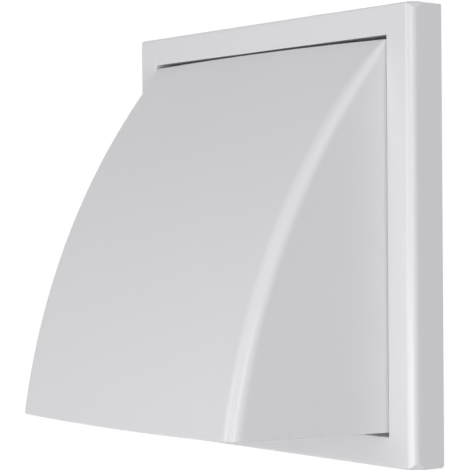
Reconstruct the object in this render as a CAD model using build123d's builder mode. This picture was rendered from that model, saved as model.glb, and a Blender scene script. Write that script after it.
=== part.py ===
from build123d import *
import math
import os

# Wall frame: a square border, hollow behind, round a recess that takes the hood
frame_size = 150.0
frame_depth = 13.8
frame_corner_radius = 1.8
frame_front_corner_radius = 5.4
frame_corner_fade = 5.0
frame_corner_proud = 0.1
frame_side_radius = 3.2
frame_end_radius = 1.2
frame_end_draft = 1.2
frame_wall = 2.0
border_side = 11.3
border_end = 10.2
opening_edge_radius = 0.5
back_plate = 2.0
rib_thickness = 1.4
rib_setback = 1.0
rib_pitch = 36.0
ribs_per_side = 3

# Duct spigot behind the frame, and the raised rim that the flap closes on
spigot_border = 26.0
spigot_wall = 2.0
spigot_length = 22.0
spigot_lead_in = 1.0
spigot_root_chamfer = 1.0
seat_width = 2.5
seat_height = 2.0

# Screw holes in the corners of the back plate, each on a low boss
screw_inset = 11.5
screw_hole_diameter = 4.5
screw_boss_diameter = 10.0
screw_boss_height = 1.2

# Hood: a curved cowl with drafted sides, open below and behind
hood_wall = 2.0
hood_projection = 63.4
hood_front_radius = 233.0
hood_crown = 0.8
hood_draft = 2.27
hood_ridge_radius = 5.0
hood_ridge_start = 0.8
hood_side_gap = 0.25
hood_skirt_setback = 3.0
hood_front_top_gap = 0.8
hood_top_gap = 0.7
hood_top_bow = 0.75
hood_bottom_gap = 1.3
hood_bottom_rise = 1.2
hood_bottom_bow = 0.75
hood_lip_radius = 0.5
hood_sections = 25
trim_allowance = 6.0
trim_depth = 18.0

# Snap tabs on the hood's skirt and the windows that they click into
tab_pitch = 70.0
tab_length = 10.0
tab_depth = 3.0
tab_setback = 3.0
tab_bite = 1.2
tab_clearance = 0.3

# Flap: a gravity shutter that hangs on two trunnions and closes on the seat
flap_overlap = 4.0
flap_plate = 1.6
flap_rim_width = 1.6
flap_rim_height = 1.4
flap_rib_thickness = 1.2
flap_rib_pitch = 34.0
flap_tongue_width = 64.0
flap_seat_gap = 0.3
flap_travel = 30.0
stop_clearance = 0.3
hinge_rise = 5.5
hinge_lead = 0.5
hinge_barrel_diameter = 4.6
hinge_pin_diameter = 3.0
hinge_pin_clearance = 0.08
ear_thickness = 3.0
ear_side_clearance = 0.6
ear_radius = 4.0
ear_mouth = 2.6

# Sizes that follow from the driving ones; a reach is a distance out from the wall
corner_span = frame_size + 2 * frame_corner_proud
front_height = frame_size - 2 * frame_depth * math.tan(math.radians(frame_end_draft))
opening_width = frame_size - 2 * border_side
opening_height = frame_size - 2 * border_end
recess_depth = frame_depth - back_plate
channel_side = border_side - 2 * frame_wall
channel_end = border_end - 2 * frame_wall
spigot_diameter = frame_size - 2 * spigot_border
bore_radius = spigot_diameter / 2 - spigot_wall
seat_reach = back_plate + seat_height
screw_pitch_x = opening_width - 2 * screw_inset
screw_pitch_z = opening_height - 2 * screw_inset
flap_radius = bore_radius + flap_overlap
flap_reach = seat_reach + flap_seat_gap
flap_depth = flap_plate + flap_rim_height
hinge_reach = flap_reach + hinge_lead
hinge_height = bore_radius + seat_width + hinge_rise
ear_inner = flap_tongue_width / 2 + ear_side_clearance
ear_middle = ear_inner + ear_thickness / 2
travel = math.radians(flap_travel)
heel_swing = hinge_reach - back_plate - stop_clearance
flap_heel = (heel_swing - (hinge_reach - flap_reach) * math.cos(travel)) / math.sin(travel)
flap_top = hinge_height + flap_heel

# The hood's front profile is one arc from the frame's opening down to the lip
hood_half_width = opening_width / 2 - hood_side_gap
skirt_reach = frame_depth - hood_skirt_setback
front_top = opening_height / 2 - hood_front_top_gap
hood_top = opening_height / 2 - hood_top_gap
hood_bottom = -(opening_height / 2 - hood_bottom_gap)
chord_rise = front_top - hood_bottom
chord = math.hypot(hood_projection, chord_rise)
arc_offset = math.sqrt(hood_front_radius**2 - chord**2 / 4)
arc_reach = frame_depth + hood_projection / 2 - arc_offset * chord_rise / chord
arc_height = (front_top + hood_bottom) / 2 - arc_offset * hood_projection / chord
draft_slope = math.tan(math.radians(hood_draft))
inner_ridge_share = 1 - hood_wall / hood_ridge_radius
tab_reach = back_plate + tab_setback


# Reach of the hood's front on its centre line at a height
def front_reach(height, inset):
    return arc_reach + math.sqrt((hood_front_radius - inset) ** 2 - (height - arc_height) ** 2)


# Half the hood's width at a reach in front of its straight skirt
def half_width(reach, inset):
    return hood_half_width - (reach - skirt_reach) * draft_slope - inset


# Radius of the ridge at a height: it fades out where the front runs into the opening
def ridge_radius(height):
    run = front_reach(height, 0) - frame_depth + hood_ridge_start
    return hood_ridge_radius * (1 - math.exp(-run / hood_ridge_radius))


os.makedirs("parts", exist_ok=True)

# Wall frame
with BuildPart() as wall_frame:
    # Rounded front edges, softer at the sides than at the top and bottom
    with BuildSketch(Plane.XY):
        with Locations((0, -frame_depth / 2)):
            border_plan = Rectangle(frame_size, frame_depth)
        fillet(border_plan.vertices().group_by(Axis.Y)[0], frame_side_radius)
    extrude(amount=frame_size / 2, both=True)
    with BuildSketch(Plane.YZ):
        with BuildLine():
            Polyline(
                (0, frame_size / 2),
                (-frame_depth, front_height / 2),
                (-frame_depth, -front_height / 2),
                (0, -frame_size / 2),
                close=True,
            )
        border_profile = make_face()
        fillet(border_profile.vertices().group_by(Axis.X)[0], frame_end_radius)
    extrude(amount=frame_size / 2, both=True, mode=Mode.INTERSECT)
    # Corners that grow rounder towards the front
    for reach, corner_radius in (
        (0, frame_corner_radius),
        (frame_depth - frame_corner_fade, frame_corner_radius),
        (frame_depth, frame_front_corner_radius),
    ):
        with BuildSketch(Plane.XZ.offset(reach)):
            RectangleRounded(corner_span, corner_span, corner_radius)
    loft(ruled=True, mode=Mode.INTERSECT)
    # Channel behind the border, with webs across it
    with BuildSketch(Plane.XZ):
        Rectangle(frame_size - 2 * frame_wall, frame_size - 2 * frame_wall)
        Rectangle(opening_width + 2 * frame_wall, opening_height + 2 * frame_wall, mode=Mode.SUBTRACT)
    extrude(amount=frame_depth - frame_wall, mode=Mode.SUBTRACT)
    with BuildSketch(Plane.XZ.offset(rib_setback)):
        with GridLocations(opening_width + 2 * frame_wall + channel_side, rib_pitch, 2, ribs_per_side):
            Rectangle(channel_side + frame_wall, rib_thickness)
        with GridLocations(rib_pitch, opening_height + 2 * frame_wall + channel_end, ribs_per_side, 2):
            Rectangle(rib_thickness, channel_end + frame_wall)
    extrude(amount=frame_depth - frame_wall / 2 - rib_setback)
    # Recess for the hood
    with BuildSketch(Plane.XZ.offset(back_plate)):
        Rectangle(opening_width, opening_height)
    extrude(amount=recess_depth, mode=Mode.SUBTRACT)
    fillet(wall_frame.faces().sort_by(Axis.Y)[0].inner_wires()[0].edges(), opening_edge_radius)
    # Spigot, flap seat and the bore through both
    with BuildSketch(Plane.XZ):
        Circle(spigot_diameter / 2)
    extrude(amount=-spigot_length)
    rear_circles = wall_frame.edges().filter_by(GeomType.CIRCLE).filter_by_position(Axis.Y, 0, 0)
    chamfer(rear_circles.sort_by(SortBy.RADIUS)[-1], spigot_root_chamfer)
    chamfer(wall_frame.faces().sort_by(Axis.Y)[-1].edges(), spigot_lead_in)
    with BuildSketch(Plane.XZ.offset(back_plate)):
        Circle(bore_radius + seat_width)
    extrude(amount=seat_height)
    with BuildSketch(Plane.XZ.offset(seat_reach)):
        Circle(bore_radius)
    extrude(amount=-(seat_reach + spigot_length), mode=Mode.SUBTRACT)
    # Screw bosses and holes
    with BuildSketch(Plane.XZ.offset(back_plate)):
        with GridLocations(screw_pitch_x, screw_pitch_z, 2, 2):
            Circle(screw_boss_diameter / 2)
    extrude(amount=screw_boss_height)
    with BuildSketch(Plane.XZ):
        with GridLocations(screw_pitch_x, screw_pitch_z, 2, 2):
            Circle(screw_hole_diameter / 2)
    extrude(amount=back_plate + screw_boss_height, mode=Mode.SUBTRACT)
    # Hinge ears, each with a mouth that the trunnion snaps through
    for side in (-1, 1):
        with BuildSketch(Plane.YZ.offset(side * ear_middle)):
            with Locations((-(hinge_reach + back_plate / 2) / 2, hinge_height)):
                Rectangle(hinge_reach - back_plate / 2, 2 * ear_radius)
            with Locations((-hinge_reach, hinge_height)):
                Circle(ear_radius)
                Circle(hinge_pin_diameter / 2 + hinge_pin_clearance, mode=Mode.SUBTRACT)
            with Locations((-(hinge_reach + ear_radius / 2), hinge_height)):
                Rectangle(ear_radius, ear_mouth, mode=Mode.SUBTRACT)
        extrude(amount=ear_thickness / 2, both=True)
    # Windows for the snap tabs
    with BuildSketch(Plane.XZ.offset(tab_reach - tab_clearance)):
        with GridLocations(opening_width + frame_wall, tab_pitch, 2, 2):
            Rectangle(2 * frame_wall, tab_length + 2 * tab_clearance)
    extrude(amount=tab_depth + 2 * tab_clearance, mode=Mode.SUBTRACT)
wall_frame.part.label = "wall_frame"
export_step(wall_frame.part, "parts/wall_frame.step")

# Hood: the outer form and then its cavity, each lofted through plan sections
with BuildPart() as hood:
    for inset, form_mode in ((0, Mode.ADD), (hood_wall, Mode.SUBTRACT)):
        section_low = hood_bottom - trim_allowance - inset
        section_high = hood_top - hood_top_bow - inset if inset else hood_top
        section_step = (section_high - section_low) / (hood_sections - 1)
        back_reach = back_plate - inset
        skirt_width = hood_half_width - inset
        for level in range(hood_sections):
            height = section_low + level * section_step
            nose = front_reach(height, inset)
            shoulder = nose - hood_crown
            with BuildSketch(Plane.XY.offset(height)):
                with BuildLine():
                    shoulder_width = half_width(shoulder, inset)
                    ThreePointArc((-shoulder_width, -shoulder), (0, -nose), (shoulder_width, -shoulder))
                    Polyline(
                        (shoulder_width, -shoulder),
                        (skirt_width, -skirt_reach),
                        (skirt_width, -back_reach),
                        (-skirt_width, -back_reach),
                        (-skirt_width, -skirt_reach),
                        (-shoulder_width, -shoulder),
                    )
                section = make_face()
                ridge_share = inner_ridge_share if inset else 1
                fillet(section.vertices().group_by(Axis.Y)[0], ridge_radius(height) * ridge_share)
        loft(ruled=True, mode=form_mode)
    # Upper edge: bowed, so that its gap to the opening widens towards the corners
    with BuildSketch(Plane.XZ):
        with BuildLine():
            ThreePointArc(
                (-hood_half_width, hood_top - hood_top_bow),
                (0, hood_top),
                (hood_half_width, hood_top - hood_top_bow),
            )
            Polyline(
                (hood_half_width, hood_top - hood_top_bow),
                (hood_half_width, frame_size / 2),
                (-hood_half_width, frame_size / 2),
                (-hood_half_width, hood_top - hood_top_bow),
            )
        make_face()
    extrude(amount=hood_projection + frame_depth, mode=Mode.SUBTRACT)
    # Lower edge: slightly bowed, and rising a little towards the front
    rise = math.radians(hood_bottom_rise)
    lip_plane = Plane(
        origin=(0, -frame_depth, hood_bottom),
        x_dir=(1, 0, 0),
        z_dir=(0, -math.cos(rise), math.sin(rise)),
    )
    with BuildSketch(lip_plane):
        with BuildLine():
            ThreePointArc((-hood_half_width, 0), (0, -hood_bottom_bow), (hood_half_width, 0))
            Polyline(
                (hood_half_width, 0),
                (frame_size / 2, 0),
                (frame_size / 2, -trim_depth),
                (-frame_size / 2, -trim_depth),
                (-frame_size / 2, 0),
                (-hood_half_width, 0),
            )
        make_face()
    extrude(amount=hood_projection + frame_depth, both=True, mode=Mode.SUBTRACT)
    # The lip's outer edge is rounded from its front round to both sides
    lip = hood.faces().sort_by(Axis.Z)[0]
    fillet(lip.edges().sort_by(Axis.Y)[0], hood_lip_radius)
    # Snap tabs: each ramps up from the wall side to a square catch
    tab_root = hood_half_width - hood_wall / 2
    tab_tip = opening_width / 2 + tab_bite
    for tab_height in (-tab_pitch / 2, tab_pitch / 2):
        with BuildSketch(Plane.XY.offset(tab_height)):
            with BuildLine():
                Polyline(
                    (tab_root, -tab_reach),
                    (tab_tip, -(tab_reach + tab_depth)),
                    (tab_root, -(tab_reach + tab_depth)),
                    close=True,
                )
            make_face()
            mirror(about=Plane.YZ)
        extrude(amount=tab_length / 2, both=True)
hood.part.label = "hood"
export_step(hood.part, "parts/hood.step")

# Flap: a rimmed disc with a tongue up to its hinge barrel and trunnions
with BuildPart() as flap:
    with BuildSketch(Plane.XZ.offset(flap_reach)) as flap_outline:
        Circle(flap_radius)
        with Locations((0, flap_top / 2)):
            Rectangle(flap_tongue_width, flap_top)
    extrude(amount=flap_depth)
    with BuildSketch(Plane.XZ.offset(flap_reach + flap_plate)):
        add(flap_outline.sketch_local)
        offset(amount=-flap_rim_width, mode=Mode.REPLACE)
        with GridLocations(flap_rib_pitch, 0, 2, 1):
            Rectangle(flap_rib_thickness, 2 * flap_top, mode=Mode.SUBTRACT)
    extrude(amount=flap_rim_height, mode=Mode.SUBTRACT)
    with BuildSketch(Plane.YZ):
        with Locations((-hinge_reach, hinge_height)):
            Circle(hinge_barrel_diameter / 2)
    extrude(amount=flap_tongue_width / 2, both=True)
    with BuildSketch(Plane.YZ):
        with Locations((-hinge_reach, hinge_height)):
            Circle(hinge_pin_diameter / 2)
    extrude(amount=ear_inner + ear_thickness, both=True)
flap.part.label = "flap"
export_step(flap.part, "parts/flap.step")
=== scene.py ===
import bpy
import bmesh
import math
from mathutils import Matrix, Vector

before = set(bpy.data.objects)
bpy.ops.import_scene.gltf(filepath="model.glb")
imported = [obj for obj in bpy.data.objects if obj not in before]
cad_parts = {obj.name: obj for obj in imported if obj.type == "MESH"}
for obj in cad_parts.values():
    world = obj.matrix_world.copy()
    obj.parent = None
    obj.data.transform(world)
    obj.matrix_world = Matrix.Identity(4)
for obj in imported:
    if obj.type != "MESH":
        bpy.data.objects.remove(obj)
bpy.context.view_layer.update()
scene = bpy.context.scene
print("vent loaded:", ", ".join(sorted(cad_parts)))


# a socket with arithmetic, so that shader maths reads as plain sums
class Value:
    def __init__(self, tree, socket):
        self.tree = tree
        self.socket = socket

    def math(self, operation, first, second):
        node = self.tree.nodes.new("ShaderNodeMath")
        node.operation = operation
        for slot, item in zip(node.inputs, (first, second)):
            if isinstance(item, Value):
                self.tree.links.new(item.socket, slot)
            else:
                slot.default_value = item
        return Value(self.tree, node.outputs[0])

    def __add__(self, other):
        return self.math("ADD", self, other)

    def __radd__(self, other):
        return self.math("ADD", other, self)

    def __sub__(self, other):
        return self.math("SUBTRACT", self, other)

    def __rsub__(self, other):
        return self.math("SUBTRACT", other, self)

    def __mul__(self, other):
        return self.math("MULTIPLY", self, other)

    def __rmul__(self, other):
        return self.math("MULTIPLY", other, self)


# a node tree being filled in: of a material, the world or a modifier
class Nodes:
    def __init__(self, tree):
        self.tree = tree
        tree.nodes.clear()

    # any node: its type, its settings first, then its sockets' values or links, by name or number
    def node(self, kind, settings=None, sockets=None):
        made = self.tree.nodes.new(kind)
        for key, item in (settings or {}).items():
            setattr(made, key, item)
        for key, item in (sockets or {}).items():
            if isinstance(item, Value):
                self.tree.links.new(item.socket, made.inputs[key])
            elif isinstance(item, bpy.types.NodeSocket):
                self.tree.links.new(item, made.inputs[key])
            else:
                made.inputs[key].default_value = item
        return made

    def value(self, socket):
        return Value(self.tree, socket)

    # 1 for what the camera sees, straight, mirrored or through, and 0 for the light on a surface
    def lookedAt(self):
        rays = self.node("ShaderNodeLightPath")
        seen = self.value(rays.outputs["Is Camera Ray"])
        mirrored = self.value(rays.outputs["Is Glossy Ray"])
        through = self.value(rays.outputs["Is Transmission Ray"])
        return seen + mirrored + through


# white moulded plastic: faint cloudiness, a fine grain from the mould and slow waves from cooling
plastic = {
    "pale": (0.780, 0.778, 0.788, 1),
    "cloud": (0.760, 0.758, 0.768, 1),
    "cloudNoise": {"Scale": 22.0, "Detail": 3.0, "Roughness": 0.5},
    "grainNoise": {"Scale": 2600.0, "Detail": 2.0, "Roughness": 0.6},
    "grainDepth": 0.000003,
    "waveNoise": {"Scale": 34.0, "Detail": 1.0, "Roughness": 0.4},
    "waveDepth": 0.00010,
    "noiseMiddle": 0.5,
    "roughness": 0.22,
    "cloudGloss": 0.05,
    "grainGloss": 0.03,
    "ior": 1.5,
    "shift": (0, 0, 0),
}
framePlastic = dict(plastic, roughness=0.14)
hoodPlastic = dict(plastic, shift=(0.31, 0.12, 0.57), waveNoise=dict(plastic["waveNoise"], Scale=26.0))
flapPlastic = dict(plastic, shift=(0.73, 0.44, 0.18), roughness=0.31, pale=(0.765, 0.763, 0.773, 1))


def mouldedPlastic(name, look):
    material = bpy.data.materials.new(name)
    material.use_nodes = True
    nodes = Nodes(material.node_tree)
    place = nodes.node("ShaderNodeTexCoord").outputs["Object"]
    spot = nodes.node("ShaderNodeMapping", None, {"Vector": place, "Location": look["shift"]}).outputs[0]
    noise = {}
    for kind in ("cloudNoise", "grainNoise", "waveNoise"):
        noise[kind] = nodes.node("ShaderNodeTexNoise", None, dict(look[kind], Vector=spot)).outputs["Fac"]
    cloudy = nodes.value(noise["cloudNoise"])
    grainy = nodes.value(noise["grainNoise"])
    tint = nodes.node("ShaderNodeMix", {"data_type": "RGBA"}, {
        0: cloudy, 6: look["pale"], 7: look["cloud"]})
    waves = nodes.node("ShaderNodeBump", None, {
        "Height": noise["waveNoise"], "Distance": look["waveDepth"]})
    grains = nodes.node("ShaderNodeBump", None, {
        "Height": noise["grainNoise"], "Distance": look["grainDepth"], "Normal": waves.outputs[0]})
    cloudGloss = (cloudy - look["noiseMiddle"]) * look["cloudGloss"]
    grainGloss = (grainy - look["noiseMiddle"]) * look["grainGloss"]
    gloss = look["roughness"] + cloudGloss + grainGloss
    skin = nodes.node("ShaderNodeBsdfPrincipled", None, {
        "Base Color": tint.outputs[2], "Roughness": gloss, "IOR": look["ior"], "Normal": grains.outputs[0]})
    nodes.node("ShaderNodeOutputMaterial", None, {"Surface": skin.outputs[0]})
    return material


for nodeName, look in (("wall_frame", framePlastic), ("hood", hoodPlastic), ("flap", flapPlastic)):
    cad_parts[nodeName].material_slots[0].material = mouldedPlastic(nodeName + "Plastic", look)
    print("plastic on", nodeName)


# smooth shading across the joins of a moulding's faces, with true edges left crisp
shading = {"weld": 0.000002, "crispAngle": 24.0, "weight": 60}


def smoothShading(setup):
    group = bpy.data.node_groups.new("smoothShading", "GeometryNodeTree")
    for direction in ("INPUT", "OUTPUT"):
        group.interface.new_socket("Geometry", in_out=direction, socket_type="NodeSocketGeometry")
    nodes = Nodes(group)
    moulding = nodes.node("NodeGroupInput").outputs[0]
    weld = nodes.node("GeometryNodeMergeByDistance", None, {
        "Geometry": moulding, "Distance": setup["weld"]})
    angle = nodes.node("GeometryNodeInputMeshEdgeAngle").outputs["Unsigned Angle"]
    crisp = nodes.node(
        "FunctionNodeCompare", {"data_type": "FLOAT", "operation": "GREATER_THAN"},
        {0: angle, 1: math.radians(setup["crispAngle"])})
    normals = nodes.node("GeometryNodeSetMeshNormal", {"mode": "SHARPNESS"}, {
        "Mesh": weld.outputs[0], "Remove Custom": True, "Edge Sharpness": crisp.outputs[0]})
    nodes.node("NodeGroupOutput", None, {0: normals.outputs[0]})
    return group


shadingGroup = smoothShading(shading)
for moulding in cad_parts.values():
    moulding.modifiers.new("smoothShading", "NODES").node_group = shadingGroup
    weighted = moulding.modifiers.new("weightedNormals", "WEIGHTED_NORMAL")
    weighted.mode = "FACE_AREA_WITH_ANGLE"
    weighted.weight = shading["weight"]
    weighted.keep_sharp = True
print("smooth shading set")


# a pale floor below the outlet, which hangs on a wall in use
floorSetup = {
    "drop": 0.16,
    "radius": 0.56,
    "solidRadius": 0.22,
    "segments": 96,
    "colour": (0.9, 0.9, 0.905, 1),
    "paleShare": 0.45,
}


def makeFloor(setup):
    mesh = bpy.data.meshes.new("floor")
    bm = bmesh.new()
    bmesh.ops.create_circle(bm, cap_ends=True, segments=setup["segments"], radius=setup["radius"])
    bmesh.ops.translate(bm, verts=bm.verts, vec=(0, 0, -setup["drop"]))
    bm.to_mesh(mesh)
    bm.free()
    floor = bpy.data.objects.new("floor", mesh)
    scene.collection.objects.link(floor)
    material = bpy.data.materials.new("paleFloor")
    material.use_nodes = True
    nodes = Nodes(material.node_tree)
    place = nodes.node("ShaderNodeTexCoord").outputs["Object"]
    reach = nodes.node("ShaderNodeVectorMath", {"operation": "LENGTH"}, {0: place}).outputs["Value"]
    fade = nodes.node("ShaderNodeMapRange", {"interpolation_type": "SMOOTHSTEP"}, {
        "Value": reach, "From Min": setup["solidRadius"], "From Max": setup["radius"]})
    under = nodes.value(nodes.node("ShaderNodeNewGeometry").outputs["Backfacing"])
    # see-through past its rim, from below and for the light of the low panel
    solid = nodes.lookedAt() * (1 - nodes.value(fade.outputs["Result"])) * (1 - under)
    paint = nodes.node("ShaderNodeBsdfDiffuse", None, {"Color": setup["colour"]})
    glow = nodes.node("ShaderNodeEmission")
    lit = nodes.node("ShaderNodeMixShader", None, {
        0: setup["paleShare"], 1: paint.outputs[0], 2: glow.outputs[0]})
    nothing = nodes.node("ShaderNodeBsdfTransparent")
    floorMix = nodes.node("ShaderNodeMixShader", None, {0: solid, 1: nothing.outputs[0], 2: lit.outputs[0]})
    nodes.node("ShaderNodeOutputMaterial", None, {"Surface": floorMix.outputs[0]})
    mesh.materials.append(material)


makeFloor(floorSetup)
print("floor laid")


# soft studio light: a pale room and panels round the object; azimuth 0 is straight out from the wall
room = {"level": 0.2895, "glow": (0.985, 0.97, 1.045, 1), "white": (1, 1, 1, 1)}
panelDistance = 1.6   # metres from the middle of the outlet
panels = {
    "lowPanel": {"azimuth": 30, "elevation": -25, "width": 1.3, "height": 1.3, "power": 14.6},
    "sidePanel": {"azimuth": 86, "elevation": 60, "width": 1.7, "height": 1.7, "power": 7.2},
    "frontPanel": {"azimuth": -6, "elevation": 0, "width": 0.3, "height": 0.9, "power": 2.6},
    "nearPanel": {"azimuth": 54, "elevation": 0, "width": 0.3, "height": 0.9, "power": 2.8},
    "backPanel": {"azimuth": 207, "elevation": 32, "width": 1.4, "height": 1.4, "power": 14.0},
}


def makeRoom(setup):
    world = bpy.data.worlds.new("paleRoom")
    world.use_nodes = True
    scene.world = world
    nodes = Nodes(world.node_tree)
    light = nodes.node("ShaderNodeBackground", None, {"Color": setup["glow"], "Strength": setup["level"]})
    backdrop = nodes.node("ShaderNodeBackground", None, {"Color": setup["white"]})
    mix = nodes.node("ShaderNodeMixShader", None, {
        0: nodes.lookedAt(), 1: light.outputs[0], 2: backdrop.outputs[0]})
    nodes.node("ShaderNodeOutputWorld", None, {"Surface": mix.outputs[0]})


def makePanel(name, setup):
    data = bpy.data.lights.new(name, "AREA")
    data.shape = "RECTANGLE"
    data.size = setup["width"]
    data.size_y = setup["height"]
    data.energy = setup["power"]
    lamp = bpy.data.objects.new(name, data)
    scene.collection.objects.link(lamp)
    turn = Matrix.Rotation(math.radians(setup["azimuth"]), 3, "Z")
    tilt = Matrix.Rotation(math.radians(-setup["elevation"]), 3, "X")
    lamp.location = turn @ tilt @ Vector((0, -panelDistance, 0))
    lamp.rotation_mode = "QUATERNION"
    lamp.rotation_quaternion = (-lamp.location).to_track_quat("-Z", "Y")


makeRoom(room)
for panelName, panelSetup in panels.items():
    makePanel(panelName, panelSetup)
print("lights up:", len(panels), "panels")


# the photograph's view: level with the outlet, from its right front
cameraSetup = {
    "place": (0.4876, -0.40698, 0.00113),
    "yaw": 52.104,
    "pitch": -0.053,
    "roll": -0.385,
    "lens": 137.017,
    "sensor": 36.0,
    "shiftX": 0.006,
    "nearest": 0.01,
}


def makeCamera(setup):
    data = bpy.data.cameras.new("camera")
    data.sensor_width = setup["sensor"]
    data.lens = setup["lens"]
    data.shift_x = setup["shiftX"]
    data.clip_start = setup["nearest"]
    camera = bpy.data.objects.new("camera", data)
    scene.collection.objects.link(camera)
    camera.matrix_world = (
        Matrix.Translation(setup["place"])
        @ Matrix.Rotation(math.radians(setup["yaw"]), 4, "Z")
        @ Matrix.Rotation(math.radians(90 + setup["pitch"]), 4, "X")
        @ Matrix.Rotation(math.radians(setup["roll"]), 4, "Z")
    )
    scene.camera = camera


makeCamera(cameraSetup)
scene.view_settings.view_transform = "Standard"
print("camera placed")
